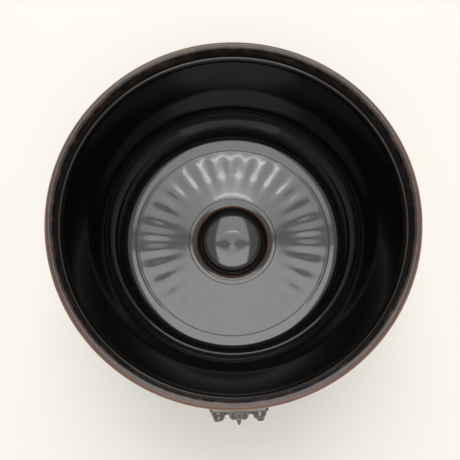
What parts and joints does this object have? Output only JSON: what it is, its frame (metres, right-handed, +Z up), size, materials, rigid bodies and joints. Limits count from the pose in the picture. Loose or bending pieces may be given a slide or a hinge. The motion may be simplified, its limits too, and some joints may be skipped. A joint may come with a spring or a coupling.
{
  "type": "tenmoku tea bowl",
  "caption": "Deep black-glazed stoneware tea bowl with a rolled rust-brown lip, a sunk well in the floor, a turned foot ring and a moulded beast mask at front and back.",
  "frame": {"origin": "middle of the foot ring's ground plane", "axes": "+Z up out of the mouth, -Y towards the front mask, +X to the right seen from the front"},
  "size_m": [0.125, 0.1392, 0.075],
  "materials": {
    "glaze": "mirror-gloss black tenmoku glaze",
    "lip_glaze": "glossy rust-brown where the glaze runs thin",
    "mask_glaze": "black glaze broken to rust on the high points",
    "bare_clay": "unglazed dark stoneware"
  },
  "bodies": {
    "root": {"bowl_wall": "glaze", "rolled_lip": "lip_glaze", "well_cup": "glaze", "foot_ring": "bare_clay", "front_mask_plate": "mask_glaze", "front_mask_face": "mask_glaze", "front_left_curl": "mask_glaze", "front_right_curl": "mask_glaze", "front_left_scroll": "mask_glaze", "front_right_scroll": "mask_glaze", "rear_mask_plate": "mask_glaze", "rear_mask_face": "mask_glaze", "rear_left_curl": "mask_glaze", "rear_right_curl": "mask_glaze", "rear_left_scroll": "mask_glaze", "rear_right_scroll": "mask_glaze"}
  },
  "joints": []
}
